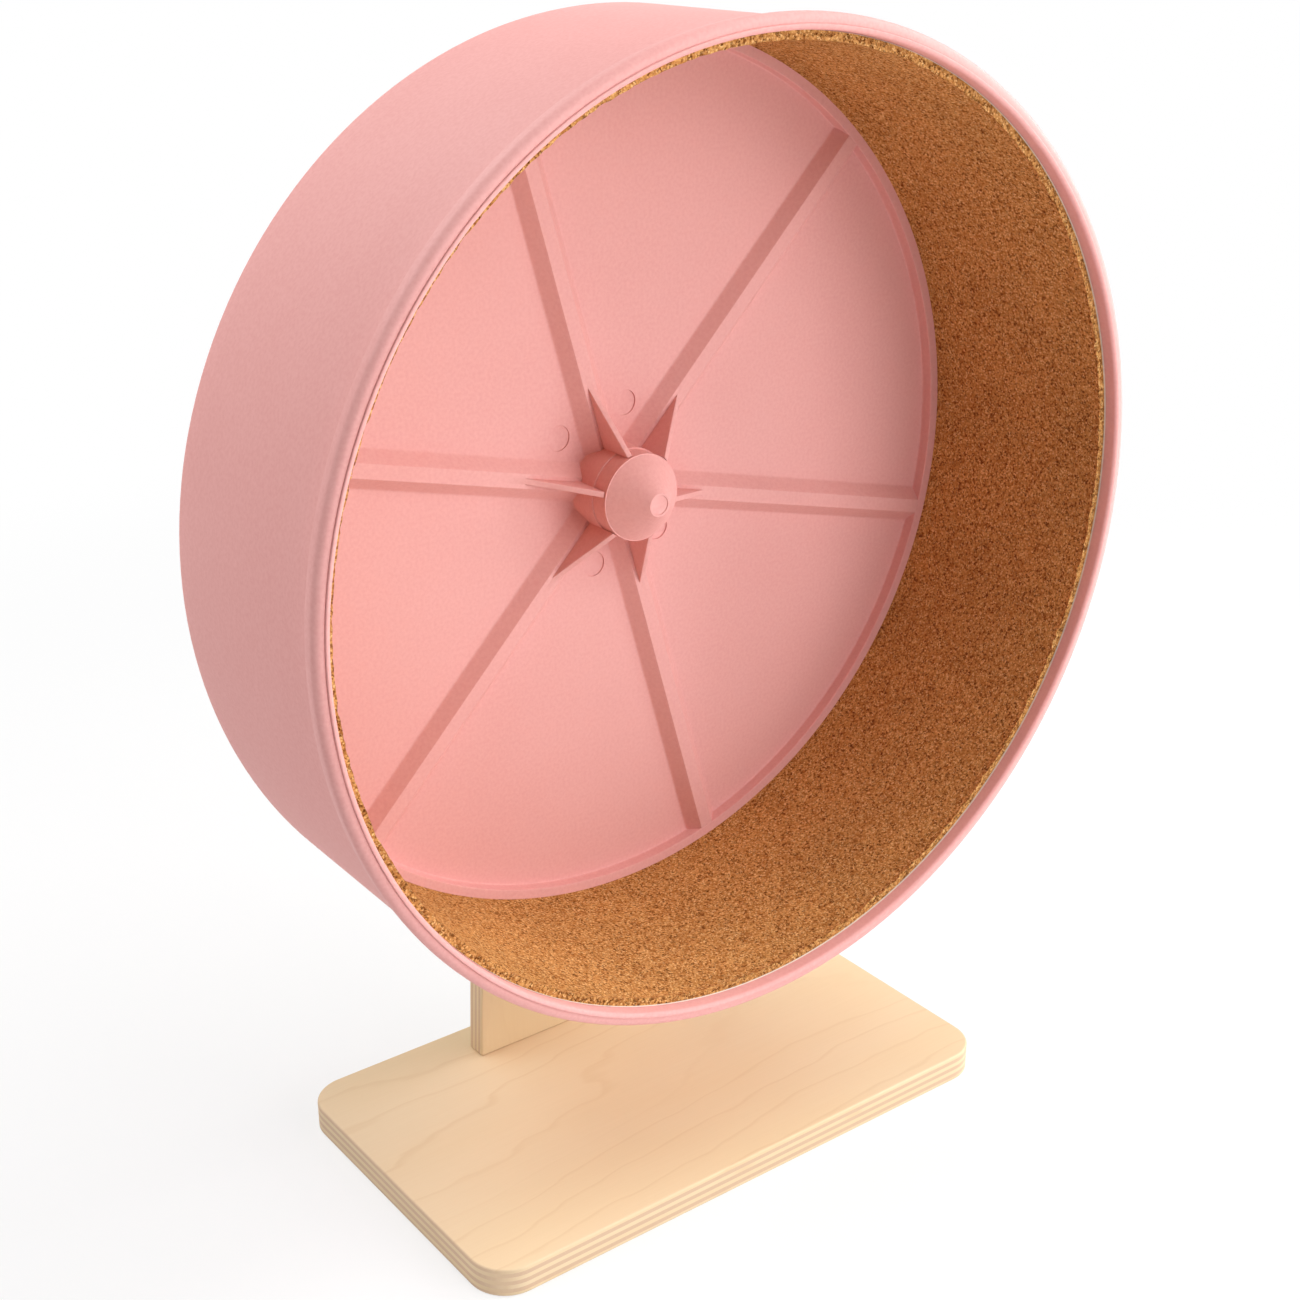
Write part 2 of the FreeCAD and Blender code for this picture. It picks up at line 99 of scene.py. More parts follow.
# %% Shader arithmetic
class Socket:
    """One output of a node. Sums on it add Math nodes to the same tree."""

    def __init__(self, tree, output=None):
        self.tree = tree
        self.output = output

    def node(self, kind, settings=None, inputs=None, output=0):
        """New node of a kind: its settings are set first, then its sockets get values or links."""
        made = self.tree.nodes.new(kind)
        for key, value in (settings or {}).items():
            setattr(made, key, value)
        for key, value in (inputs or {}).items():
            if isinstance(value, Socket):
                self.tree.links.new(value.output, made.inputs[key])
            else:
                made.inputs[key].default_value = value
        return Socket(self.tree, made.outputs[output] if made.outputs else None)

    def math(self, operation, first, second=0.0):
        """Math node of an operation on two values."""
        return self.node("ShaderNodeMath", {"operation": operation}, {0: first, 1: second})

    def __add__(self, other):
        return self.math("ADD", self, other)

    __radd__ = __add__

    def __sub__(self, other):
        return self.math("SUBTRACT", self, other)

    def __rsub__(self, other):
        return self.math("SUBTRACT", other, self)

    def __mul__(self, other):
        return self.math("MULTIPLY", self, other)

    __rmul__ = __mul__

    def __mod__(self, other):
        return self.math("FLOORED_MODULO", self, other)

    def floor(self):
        return self.math("FLOOR", self)

    def step(self, low, high):
        """Smooth rise from 0 at low to 1 at high."""
        settings = {"interpolation_type": "SMOOTHSTEP"}
        return self.node("ShaderNodeMapRange", settings, {0: self, 1: low, 2: high})

    def mix(self, first, second):
        """Colour between two colours, with this value as the share of the second."""
        return self.node("ShaderNodeMix", {"data_type": "RGBA"}, {0: self, 6: first, 7: second}, 2)

    def shade(self, colour):
        """A colour multiplied by this value."""
        settings = {"data_type": "RGBA", "blend_type": "MULTIPLY"}
        return self.node("ShaderNodeMix", settings, {0: 1.0, 6: colour, 7: self}, 2)

    def parts(self):
        """The three parts of a vector."""
        return [self.node("ShaderNodeSeparateXYZ", None, {0: self}, part) for part in range(3)]

    def join(self, x, y, z):
        """One place from three values."""
        return self.node("ShaderNodeCombineXYZ", None, {0: x, 1: y, 2: z})

    def noise(self, scale, detail=2.0, output=0):
        """Soft random field over a place, with so many waves to its unit: output 0 is a value, 1 a colour."""
        inputs = {"Vector": self, "Scale": scale, "Detail": detail}
        return self.node("ShaderNodeTexNoise", None, inputs, output)

    def cells(self, scale, output=0):
        """Random cells over a place: output 0 is the distance to a cell's heart, 1 its own colour."""
        return self.node("ShaderNodeTexVoronoi", None, {"Vector": self, "Scale": scale}, output)

    def bump(self, depth, strength):
        """A normal tilted by this value, read as a height of so many metres."""
        return self.node("ShaderNodeBump", None, {"Strength": strength, "Distance": depth, "Height": self})


print("shader arithmetic ready")


# %% New materials
def colour(red, green, blue):
    """Linear red, green and blue with full cover."""
    return (red, green, blue, 1.0)


def new_material(name):
    """Empty material, with its tree as a Socket and the piece's own coordinates."""
    material = bpy.data.materials.new(name)
    material.use_nodes = True
    material.node_tree.nodes.clear()
    tree = Socket(material.node_tree)
    return material, tree, tree.node("ShaderNodeTexCoord", None, None, "Object")


def surface(tree, inputs):
    """Principled surface with these inputs, wired to the material's output."""
    shader = tree.node("ShaderNodeBsdfPrincipled", None, inputs)
    tree.node("ShaderNodeOutputMaterial", None, {"Surface": shader})


print("material helpers ready")

# %% [markdown]
# The drum and its cap are one kind of plastic, moulded with a fine matt grain from the spark-worn steel of
# the mould. A flat pink would look like paint, so slow noise shifts its strength a little, as pigment does
# in a melt, and a fine bump breaks up the shine. The rim is smoother, because that part of the mould was
# polished, so a step at the bead's back takes off some of the roughness and the bump.

# %% Pink moulded plastic
PINK = colour(0.830, 0.425, 0.402)
PINK_DEEP = colour(0.770, 0.360, 0.337)
CLOUD_WAVES = 14.0
GRAIN_WAVES = 950.0
grain_depth = 0.05 * MM
polish_fade = 0.2 * MM
crest_height = 0.5 * MM
bead_width = 5.6 * MM
bead_front_y = drum_low.y + crest_height
bead_back_y = bead_front_y + bead_width


def moulded_plastic(name, rim_back):
    """Grained plastic that is smoother in front of a depth, where the mould was polished."""
    material, tree, place = new_material(name)
    rim = 1.0 - (place.parts()[Y] - rim_back).step(-polish_fade, polish_fade)
    cloud = place.noise(CLOUD_WAVES, 3.0)
    grain = place.noise(GRAIN_WAVES, 3.0)
    strength = 0.35 * cloud.step(0.30, 0.75) + 0.65 * grain.step(0.25, 0.75)
    surface(tree, {
        "Base Color": strength.mix(PINK, PINK_DEEP),
        "Roughness": 0.54 + 0.14 * grain - 0.12 * rim,
        "Specular IOR Level": 0.12,
        "Normal": (grain * (1.0 - 0.6 * rim)).bump(grain_depth, 0.60),
    })
    return material


pink_plastic = moulded_plastic("pink_plastic", bead_back_y)
print(pink_plastic.name, "with", len(pink_plastic.node_tree.nodes), "nodes")

# %% [markdown]
# The track is agglomerated cork: crumbs of bark up to about a millimetre across, pressed with a binder and
# sliced. Noise alone would make it look like sand. Random cells give each crumb its own brown, a second
# set of cells drops in the pale bits and the dark bits of outer bark, and the same cells set the relief.
# Where the crumbs meet, the relief sinks and the colour is darkened there: that is painted shade in the
# hollows.
# The strip's front edge is frayed, so there are more dark bits along it.

# %% Pressed cork
CORK_PALE = colour(0.720, 0.395, 0.135)
CORK_BROWN = colour(0.455, 0.190, 0.050)
CORK_BARK = colour(0.110, 0.029, 0.006)
CORK_LIGHT = colour(0.850, 0.560, 0.240)
# painted shade: the dark brown that the hollows between crumbs are mixed towards
CORK_GAP_SHADE = colour(0.280, 0.088, 0.019)
CRUMB_CELLS = 1350.0
SPECK_CELLS = 2100.0
FINE_WAVES = 3400.0
DRIFT_WAVES = 30.0
WOBBLE_WAVES = 2200.0
WOBBLE_SHARE = 0.0004
crumb_relief = 0.20 * MM
fray_start = 0.2 * MM
fray_end = 1.0 * MM


def pressed_cork(name, front):
    """Crumbs that are darker within a millimetre of the strip's frayed front edge."""
    material, tree, place = new_material(name)
    wobble = place.noise(WOBBLE_WAVES, 2.0, 1)
    wobbled = {0: WOBBLE_SHARE, 4: place, 5: wobble}
    shifted = tree.node("ShaderNodeMix", {"data_type": "VECTOR"}, wobbled, 1)
    crumb = shifted.cells(CRUMB_CELLS, 1).parts()
    heart = shifted.cells(CRUMB_CELLS)
    speck = shifted.cells(SPECK_CELLS, 1).parts()
    fine = place.noise(FINE_WAVES, 3.0)
    frayed = 1.0 - (place.parts()[Y] - front).step(fray_start, fray_end)
    body = (0.8 * crumb[0] + 0.7 * fine - 0.28).mix(CORK_PALE, CORK_BROWN)
    dark = (crumb[1] + 0.12 * frayed).step(0.86, 0.94) + speck[2].step(0.84, 0.92)
    bark = dark * fine.step(0.30, 0.55)
    light = speck[0].step(0.78, 0.88)
    # painted shade: darker where the crumbs meet and the relief sinks
    gap_shade = heart.step(0.42, 0.75)
    drift = place.noise(DRIFT_WAVES, 2.0).step(0.3, 0.7)
    crumbs = (0.9 * bark).mix((0.8 * light).mix(body, CORK_LIGHT), CORK_BARK)
    surface(tree, {
        "Base Color": (0.94 + 0.10 * drift).shade((0.5 * gap_shade).mix(crumbs, CORK_GAP_SHADE)),
        "Roughness": 0.84 + 0.12 * fine,
        "Specular IOR Level": 0.03,
        "Normal": (0.6 * fine - heart - 0.4 * bark).bump(crumb_relief, 0.6),
    })
    return material


pressed_cork_finish = pressed_cork("cork", cork_low.y)
print(pressed_cork_finish.name, "with", len(pressed_cork_finish.node_tree.nodes), "nodes")

# %% [markdown]
# The stand is birch plywood: thin sheets glued with the grain of each one across the next. A picture of
# wood wrapped round a box never matches at its edges. Here the wood fills space, as in the real board: the
# depth says which sheet a point is in, that sheet's grain direction sets its fibres and growth lines, and
# wherever the surface cuts fibres across, the wood turns darker, as end grain does.

# %% Birch plywood
BIRCH_PALE = colour(0.805, 0.645, 0.430)
BIRCH_WARM = colour(0.785, 0.610, 0.375)
BIRCH_LINE = colour(0.660, 0.460, 0.255)
BIRCH_END = colour(0.660, 0.460, 0.312)
SHEETS = 7
SHEET_MARGIN = 0.01
SHEET_SHIFT = 3.7
FIBRES_ALONG, FIBRES_ACROSS, FIBRES_DEEP = 45.0, 1500.0, 900.0
SLOW_ALONG, SLOW_ACROSS = 4.0, 11.0
WAVES_ALONG, WAVES_ACROSS = 28.0, 80.0
GROWTH_LINES = 68.0
SLOW_BEND = 8.0
WAVE_BEND = 0.9
fibre_relief = 0.03 * MM


def birch_plywood(name, low, high, depth, along, across):
    """Plywood between two corners, whose sheets are stacked along one axis. The outer sheets have their grain
    along a second axis, and every other sheet has it across. A line ends each ring of growth, whose number is
    the distance across the grain in lines, bent by slow noise and a little by quicker noise."""
    material, tree, place = new_material(name)
    point = place.parts()
    facing = tree.node("ShaderNodeTexCoord", None, None, "Normal").parts()
    sheets_to_metre = (SHEETS - 2 * SHEET_MARGIN) / (high[depth] - low[depth])
    sheet = ((point[depth] - low[depth]) * sheets_to_metre + SHEET_MARGIN).floor()
    odd = sheet % 2.0
    even = 1.0 - odd
    run = even * point[along] + odd * point[across]
    side = even * point[across] + odd * point[along]
    cut = even * facing[along] * facing[along] + odd * facing[across] * facing[across]
    fibre_place = tree.join(FIBRES_ALONG * run, FIBRES_ACROSS * side, FIBRES_DEEP * point[depth])
    fibre = fibre_place.noise(1.0, 3.0)
    slow = tree.join(SLOW_ALONG * run, SLOW_ACROSS * side, SHEET_SHIFT * sheet)
    wavy = tree.join(WAVES_ALONG * run, WAVES_ACROSS * side, SHEET_SHIFT * sheet).noise(1.0, 2.0)
    growth = GROWTH_LINES * side + SLOW_BEND * slow.noise(1.0, 1.0) + WAVE_BEND * wavy
    ring = growth % 1.0
    ring_number = {"W": growth.floor() + 0.5}
    strength = tree.node("ShaderNodeTexWhiteNoise", {"noise_dimensions": "1D"}, ring_number)
    line = (0.2 + strength) * ring.step(0.84, 0.95) * (1.0 - ring.step(0.95, 1.0))
    face = slow.noise(1.7, 2.0).step(0.25, 0.75).mix(BIRCH_PALE, BIRCH_WARM)
    face = (0.23 * line + 0.03 * ring + 0.20 * fibre).mix(face, BIRCH_LINE)
    surface(tree, {
        "Base Color": (cut * (0.75 + 0.5 * fibre)).mix(face, BIRCH_END),
        "Roughness": 0.50 + 0.15 * fibre + 0.15 * cut,
        "Normal": fibre.bump(fibre_relief, 0.5),
    })
    return material


base_low, base_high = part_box("base_plate")
upright_low, upright_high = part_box("upright_plate")
base_birch = birch_plywood("base_birch", base_low, base_high, Z, X, Y)
upright_birch = birch_plywood("upright_birch", upright_low, upright_high, Y, Z, X)
print("plywood sheets of", round((base_high.z - base_low.z) / SHEETS / MM, 2), "mm in the base")

# %% [markdown]
# The fittings are plated steel, ground bearing steel, pressed steel shields, a nylon cage and a pale film
# of tape. Each could have its own long recipe, but they differ mainly in colour, in how metallic they are
# and in how rough, so one function makes them all and noise gives each its handling marks.

# %% Steel, nylon and film
mark_depth = 0.01 * MM


def plain_finish(name, tone, metallic, roughness, spread, marks):
    """Finish of one tone whose roughness wanders by a spread, with so many marks to the metre."""
    material, tree, place = new_material(name)
    mark = place.noise(marks, 3.0)
    surface(tree, {
        "Base Color": (0.88 + 0.24 * mark).shade(tone),
        "Metallic": metallic,
        "Roughness": roughness + spread * (mark - 0.5),
        "Normal": mark.bump(mark_depth, 0.4),
    })
    return material


zinc_steel = plain_finish("zinc_steel", colour(0.66, 0.67, 0.69), 1.0, 0.34, 0.25, 420.0)
bearing_steel = plain_finish("bearing_steel", colour(0.60, 0.60, 0.61), 1.0, 0.16, 0.10, 800.0)
shield_steel = plain_finish("shield_steel", colour(0.52, 0.53, 0.55), 1.0, 0.28, 0.15, 600.0)
cage_nylon = plain_finish("cage_nylon", colour(0.72, 0.66, 0.52), 0.0, 0.45, 0.15, 900.0)
adhesive_film = plain_finish("adhesive_film", colour(0.95, 0.85, 0.79), 0.0, 0.40, 0.15, 300.0)
print("five plain finishes made")

# %% [markdown]
# Every new surface below is a grid: a formula gives a point for each pair of two parameters, and each
# four neighbours become a face. Blender's own primitives and editing tools could make much of this, but a
# formula gives exact sizes. Doubles are merged, so poles and seams close, and normals are turned outwards.

# %% Rounded outlines
MERGE = 1e-6
TINY = 1e-12


def unit(vectors):
    """Vectors divided by their own length."""
    return vectors / np.maximum(np.linalg.norm(vectors, axis=-1, keepdims=True), TINY)


def rounded(corners, steps=5):
    """Closed outline of corners (a, b, radius). Each corner becomes the arc that touches both its sides:
    its centre lies on the bisector, at the radius over the sine of half the corner's angle."""
    table = np.array([(*corner, 0.0)[:3] for corner in corners])
    point = table[:, :2]
    radius = table[:, 2:]
    behind = unit(np.roll(point, 1, axis=0) - point)
    ahead = unit(np.roll(point, -1, axis=0) - point)
    half = np.arccos(np.clip(np.sum(behind * ahead, axis=1, keepdims=True), -1, 1)) / 2
    centre = point + unit(behind + ahead) * radius / np.sin(half)
    start = point + behind * radius / np.tan(half) - centre
    end = point + ahead * radius / np.tan(half) - centre
    sweep = (np.pi - 2 * half)[:, None]
    share = np.linspace(0, 1, steps + 1)[None, :, None]
    arc = np.sin((1 - share) * sweep) * start[:, None] + np.sin(share * sweep) * end[:, None]
    outline = (centre[:, None] + arc / np.maximum(np.sin(sweep), TINY)).reshape(-1, 2)
    apart = np.linalg.norm(outline - np.roll(outline, 1, axis=0), axis=1)
    return outline[apart > MERGE / 10]


def divided(outline, longest):
    """The same closed outline, with each side cut into equal parts no longer than a limit."""
    side = np.roll(outline, -1, axis=0) - outline
    parts = np.maximum(np.ceil(np.linalg.norm(side, axis=1) / longest), 1).astype(int)
    owner = np.repeat(np.arange(len(outline)), parts)
    share = (np.arange(parts.sum()) - (np.cumsum(parts) - parts)[owner]) / parts[owner]
    return outline[owner] + share[:, None] * side[owner]


square = rounded([(0, 0, 1), (4, 0, 1), (4, 4, 1), (0, 4, 1)])
print("a square with rounded corners has", len(square), "points")

# %% Meshes from grids
CREASE = math.radians(35)


def tidy_mesh(mesh):
    """Merge doubles, drop what collapses, turn normals outwards and shade smooth up to a crease."""
    work = bmesh.new()
    work.from_mesh(mesh)
    bmesh.ops.remove_doubles(work, verts=work.verts, dist=MERGE)
    bmesh.ops.dissolve_degenerate(work, edges=work.edges, dist=MERGE)
    bare_edges = [edge for edge in work.edges if not edge.link_faces]
    bmesh.ops.delete(work, geom=bare_edges, context="EDGES")
    bmesh.ops.recalc_face_normals(work, faces=work.faces)
    work.to_mesh(mesh)
    work.free()
    mesh.shade_smooth()
    mesh.set_sharp_from_angle(angle=CREASE)
    return mesh


def grid_mesh(name, points, loop_u=True):
    """Mesh of one grid of points, or of several copies: four neighbours make a face. The second direction
    always runs back to its start, and the first one does too unless its ends are left open."""
    grids = points.reshape(-1, *points.shape[-3:])
    index = np.arange(grids.size // 3).reshape(grids.shape[:3])
    index = np.concatenate([index, index[:, :, :1]], axis=2)
    if loop_u:
        index = np.concatenate([index, index[:, :1]], axis=1)
    faces = np.stack([index[:, :-1, :-1], index[:, 1:, :-1], index[:, 1:, 1:], index[:, :-1, 1:]], axis=-1)
    mesh = bpy.data.meshes.new(name)
    mesh.from_pydata(grids.reshape(-1, 3).tolist(), [], faces.reshape(-1, 4).tolist())
    return tidy_mesh(mesh)


print("points of a mesh that lie within", MERGE / MM, "mm are merged")


# %% Objects in the scene
def into_scene(name, data):
    """New object for some data, linked into the scene."""
    made = bpy.data.objects.new(name, data)
    bpy.context.scene.collection.objects.link(made)
    return made


def place_piece(name, mesh, material, body, slot, *nodes):
    """Object for a mesh that stands for bare nodes: it rides on a body and takes a finish. The slot is not
    used.
    """
    piece = into_scene(name, mesh)
    mesh.materials.clear()
    mesh.materials.append(material)
    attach(piece, body)
    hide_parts(*nodes)
    print(name, "faces", len(mesh.polygons))


def cut_away(mesh, cutter):
    """Mesh with a closed shape taken out of it."""
    pieces = [into_scene("cut_step", data) for data in (mesh, cutter)]
    step = pieces[0].modifiers.new("cut", "BOOLEAN")
    step.operation = "DIFFERENCE"
    step.solver = "EXACT"
    step.object = pieces[1]
    graph = bpy.context.evaluated_depsgraph_get()
    result = bpy.data.meshes.new_from_object(pieces[0].evaluated_get(graph))
    for piece in pieces:
        bpy.data.objects.remove(piece)
    result.name = mesh.name
    return tidy_mesh(result)


print("helpers for pieces ready")

# %% [markdown]
# The drum is one moulding: wall, beaded rim, back disc, six raised spokes that are hollow behind, hub and
# gussets. It could be a disc and a tube with spokes stuck on, but a moulding has no such joins. So it is a
# single closed grid: an outline of the section carried round the axle, with the outline's depth pushed
# forwards wherever a spoke or a gusset stands.

# %% Places in the drum
bead_height = 2.05 * MM
bead_groove = 0.15 * MM
bead_fall = 0.45 * MM
bead_lift = 0.27 * MM
crest_width = 1.6 * MM
disc_thickness = 2.2 * MM
spoke_height = 4.2 * MM
ledge_width = 5.4 * MM
hub_front_length = 16.7 * MM
hub_step_height = 0.4 * MM
hub_step_setback = 6.0 * MM
hub_shoulder = 2.0 * MM
gusset_length = 21.0 * MM
channel_draft = 0.15 * MM

wall_outer = rim_radius - bead_height - wall_draft
mouth_radius = wall_radius + wall_draft
crest_radius = mouth_radius + crest_width
ledge_inner = wall_radius - ledge_width
web_outer = ledge_inner + disc_thickness
hub_root = hub_radius + hub_step_height
gusset_tip = hub_radius + gusset_length
channel_end = hub_root + disc_thickness
spoke_top_y = cork_high.y
panel_y = spoke_top_y + spoke_height
back_y = panel_y + disc_thickness
hollow_y = spoke_top_y + disc_thickness
hub_front_y = panel_y - hub_front_length
hub_step_y = hub_front_y + hub_step_setback
front_bearing_back_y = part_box("front_bearing_outer_ring")[1].y
rear_bearing_front_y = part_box("rear_bearing_outer_ring")[0].y
print("disc at", round(panel_y / MM, 2), "mm, hub from", round(hub_front_y / MM, 2), "mm")

# %% Roundings of the drum
mouth_round = 1.2 * MM
crest_round = 0.3 * MM
groove_round = 0.05 * MM
bead_start_round = 0.15 * MM
bead_round = 2.1 * MM
bead_back_round = 0.5 * MM
bead_root_round = 0.8 * MM
back_round = 2.3 * MM
back_edge_round = 0.2 * MM
hollow_round = 0.3 * MM
hub_back_round = 0.5 * MM
bore_round = 0.3 * MM
hub_edge_round = 0.15 * MM
hub_root_round = 0.7 * MM
ledge_root_round = 0.6 * MM
ledge_round = 0.35 * MM
print("the bead is rounded by", round(bead_round / MM, 2), "mm")

# %% The drum's section
section_step = 9.0 * MM
section = rounded([
    (wall_radius, spoke_top_y),
    (mouth_radius, drum_low.y, mouth_round),
    (crest_radius, drum_low.y, crest_round),
    (crest_radius, bead_front_y + bead_groove, groove_round),
    (crest_radius + bead_groove, bead_front_y, bead_start_round),
    (rim_radius + bead_lift, bead_front_y, bead_round),
    (rim_radius - bead_fall, bead_back_y, bead_back_round),
    (wall_outer + flare(bead_back_y), bead_back_y, bead_root_round),
    (wall_outer + flare(back_y), back_y, back_round),
    (wall_radius, back_y, back_edge_round),
    (wall_radius, hollow_y, hollow_round),
    (web_outer, hollow_y, hollow_round),
    (web_outer, back_y, back_edge_round),
    (channel_end, back_y),
    (channel_end - channel_draft, back_y),
    (hub_root, back_y, hub_back_round),
    (hub_root, drum_high.y, hub_back_round),
    (bearing_radius, drum_high.y, bore_round),
    (bearing_radius, rear_bearing_front_y),
    (bearing_radius - hub_shoulder, rear_bearing_front_y),
    (bearing_radius - hub_shoulder, front_bearing_back_y),
    (bearing_radius, front_bearing_back_y),
    (bearing_radius, hub_front_y),
    (hub_radius, hub_front_y, hub_edge_round),
    (hub_radius, hub_step_y),
    (hub_root, hub_step_y, hub_edge_round),
    (hub_root, panel_y, hub_root_round),
    (gusset_tip, panel_y),
    (ledge_inner, panel_y, ledge_root_round),
    (ledge_inner, spoke_top_y, ledge_round),
])
section = divided(section, section_step)
print("section of the drum:", len(section), "stations")

# %% Across a spoke
spoke_count = 6
spoke_turn = TURN / spoke_count
spoke_angle = math.radians(-14.1)
spoke_top = 4.5 * MM / 2
spoke_foot = 12.1 * MM / 2
spoke_foot_round = 1.1 * MM
spoke_top_round = 0.40 * MM
spoke_margin = 0.6 * MM
spoke_reach = spoke_foot + spoke_margin
spoke_slope = (spoke_foot - spoke_top) / spoke_height
wall_across = disc_thickness * math.hypot(1, spoke_slope)
channel_floor = spoke_top + spoke_slope * disc_thickness - wall_across
channel_mouth = channel_floor + spoke_slope * spoke_height
channel_mouth_round = 0.25 * MM
channel_floor_round = 0.5 * MM


def hump(foot, top, height, foot_round, top_round):
    """Height across a ridge: level ground, rounded foot, straight flank, rounded top, and down again.
    The last corner only closes the outline, below ground."""
    return rounded([
        (-spoke_reach, 0), (-foot, 0, foot_round), (-top, height, top_round),
        (top, height, top_round), (foot, 0, foot_round), (spoke_reach, 0), (0, -height)])[:-1]


ridge = hump(spoke_foot, spoke_top, spoke_height, spoke_foot_round, spoke_top_round)
channel = hump(channel_mouth, channel_floor, spoke_height, channel_mouth_round, channel_floor_round)
print("points across a spoke's front and back:", len(ridge), "and", len(channel))

# %% Columns across a spoke and its gusset
gusset_half = 0.9 * MM
gusset_round = 0.3 * MM
gusset_draft = 0.08 * MM
closest_columns = 0.02 * MM
even_columns = 21
crown_columns = 5
crown = gusset_half - gusset_round + gusset_round * np.sin(np.linspace(0, np.pi / 2, crown_columns))
edges = np.concatenate([crown, [gusset_half + gusset_draft]])
spread = np.linspace(-spoke_reach, spoke_reach, even_columns)
offsets = np.unique(np.concatenate([ridge[:, 0], channel[:, 0], edges, -edges, spread]))
offsets = offsets[np.diff(offsets, prepend=-1) > closest_columns]
print("columns across one spoke:", len(offsets))


# %% The drum as one surface
def about_axle(radius, y, angle):
    """Points at a radius r, depth y and angle a: x is r cos a, and z is the axle's height plus r sin a."""
    x = radius * np.cos(angle)
    z = axle_z + radius * np.sin(angle)
    return np.stack(np.broadcast_arrays(x, y, z), axis=-1)


def drum_points(between=26):
    """Section stations carried round the axle. A column at offset t from a spoke's middle has the angle
    arcsin(t / r), so it runs parallel to the spoke, and the columns between spokes share out the rest.
    The front is the nearest of disc, spoke and gusset, and the back is pushed in by the channels."""
    radius = section[:, 0]
    depth = section[:, 1]
    wide = np.maximum(radius, hub_root)
    reach = np.arcsin(spoke_reach / wide)
    share = np.linspace(0, 1, between + 2)[1:-1, None]
    beside = np.arcsin(offsets[:, None] / wide)
    beyond = reach + share * (spoke_turn - 2 * reach)
    offset = np.concatenate([offsets, np.full(between, spoke_reach)])[:, None]

    near = MERGE
    front = (radius > bearing_radius + near) & (radius < ledge_inner + near) & (depth < panel_y + near)
    behind = (radius > channel_end - near) & (radius < web_outer + near) & ~front & (depth > hollow_y - near)
    rise = np.interp(offset, ridge[:, 0], ridge[:, 1])
    sink = np.interp(offset, channel[:, 0], channel[:, 1])
    y = np.where(front, np.minimum(depth, panel_y - rise), depth)
    y = np.where(behind, np.minimum(y, back_y - sink), y)

    slope = (spoke_top_y - hub_front_y) / (gusset_tip - hub_radius)
    slant = hub_front_y + slope * (radius - hub_radius)
    past_flat = np.clip(np.abs(offset) - (gusset_half - gusset_round), 0, gusset_round)
    edge = slant + gusset_round - np.sqrt(gusset_round**2 - past_flat**2)
    on_gusset = front & (radius > hub_root - near) & (np.abs(offset) < gusset_half + gusset_draft / 2)
    y = np.where(on_gusset, np.minimum(y, edge), y)

    turn = spoke_angle + spoke_turn * np.arange(spoke_count)[:, None, None]
    angle = turn + np.concatenate([beside, beyond])
    return about_axle(radius, y, angle).reshape(-1, len(section), 3)


drum_mesh = grid_mesh("drum", drum_points())
print("drum before its marks:", len(drum_mesh.polygons), "faces")

# %% [markdown]
# Round marks sit between the spokes near the hub, where pins pushed the warm moulding out of its mould. They
# are only half a millimetre deep, and two bays, which face each other, have none. A bump could fake them, but
# a real step catches the light from every side, so four shallow pins are cut away.

# %% Ejector-pin marks
pin_radius = 8.1 * MM / 2
pin_depth = 0.45 * MM
pin_round = 0.1 * MM
pin_proud = 1.0 * MM
pin_columns = 48
pin_bays = np.array([1, 2, 4, 5])
pin_gap = 7.75 * MM
pin_offset = hub_root + pin_gap + pin_radius


def pin_points():
    """Short turned pins, one to a bay: an outline of (radius, y) carried round each pin's own middle."""
    outline = rounded([
        (0, panel_y + pin_depth), (pin_radius, panel_y + pin_depth, pin_round),
        (pin_radius, panel_y - pin_proud), (0, panel_y - pin_proud)], 3)
    angle = np.linspace(0, TURN, pin_columns, endpoint=False)[:, None]
    local = about_axle(outline[:, 0], outline[:, 1], angle)
    turn = spoke_angle + spoke_turn * (pin_bays + 0.5)
    middle = about_axle(pin_offset, 0.0, turn) - about_axle(0.0, 0.0, 0.0)
    return local[None] + middle[:, None, None]


drum_mesh = cut_away(drum_mesh, grid_mesh("pins", pin_points()))
place_piece("drum", drum_mesh, pink_plastic, "wheel", "pink_plastic", "wheel_drum")

# %% [markdown]
# The cone on the hub is a cap that hides the axle nut. It is hollow, with a skirt that presses into the
# hub's bore, a fine flat at its foot and a shallow round dish in its tip. A cone primitive has none of that,
# so its section is drawn once and turned.

# %% Hub cap
cap_low, cap_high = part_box("hub_cap")
cap_columns = 160
cap_tip = 7.4 * MM / 2
cap_tip_round = 0.25 * MM
cap_dish_edge = 0.7 * MM
cap_dish = cap_tip - cap_dish_edge
cap_dish_depth = 0.3 * MM
cap_dish_round = 0.1 * MM
cap_wall = 1.8 * MM
cap_rim_width = 0.32 * MM
cap_rim_height = 0.25 * MM
cap_rim_round = 0.12 * MM
cap_slope = (hub_radius - cap_tip) / (hub_front_y - cap_low.y)
cap_across = cap_wall * math.hypot(1, cap_slope)
dish_y = cap_low.y + cap_dish_depth
cap_rim_y = hub_front_y - cap_rim_height
skirt_wall = 1.4 * MM
skirt_inner = bearing_radius - skirt_wall
skirt_top_y = cap_low.y + (skirt_inner + cap_across - cap_tip) / cap_slope
skirt_round = 0.3 * MM
skirt_top_round = 0.5 * MM


def lathe(outline, columns):
    """A closed outline of (radius, y) carried round the axle in so many columns."""
    angle = np.linspace(0, TURN, columns, endpoint=False)[:, None]
    return about_axle(outline[None, :, 0], outline[None, :, 1], angle)


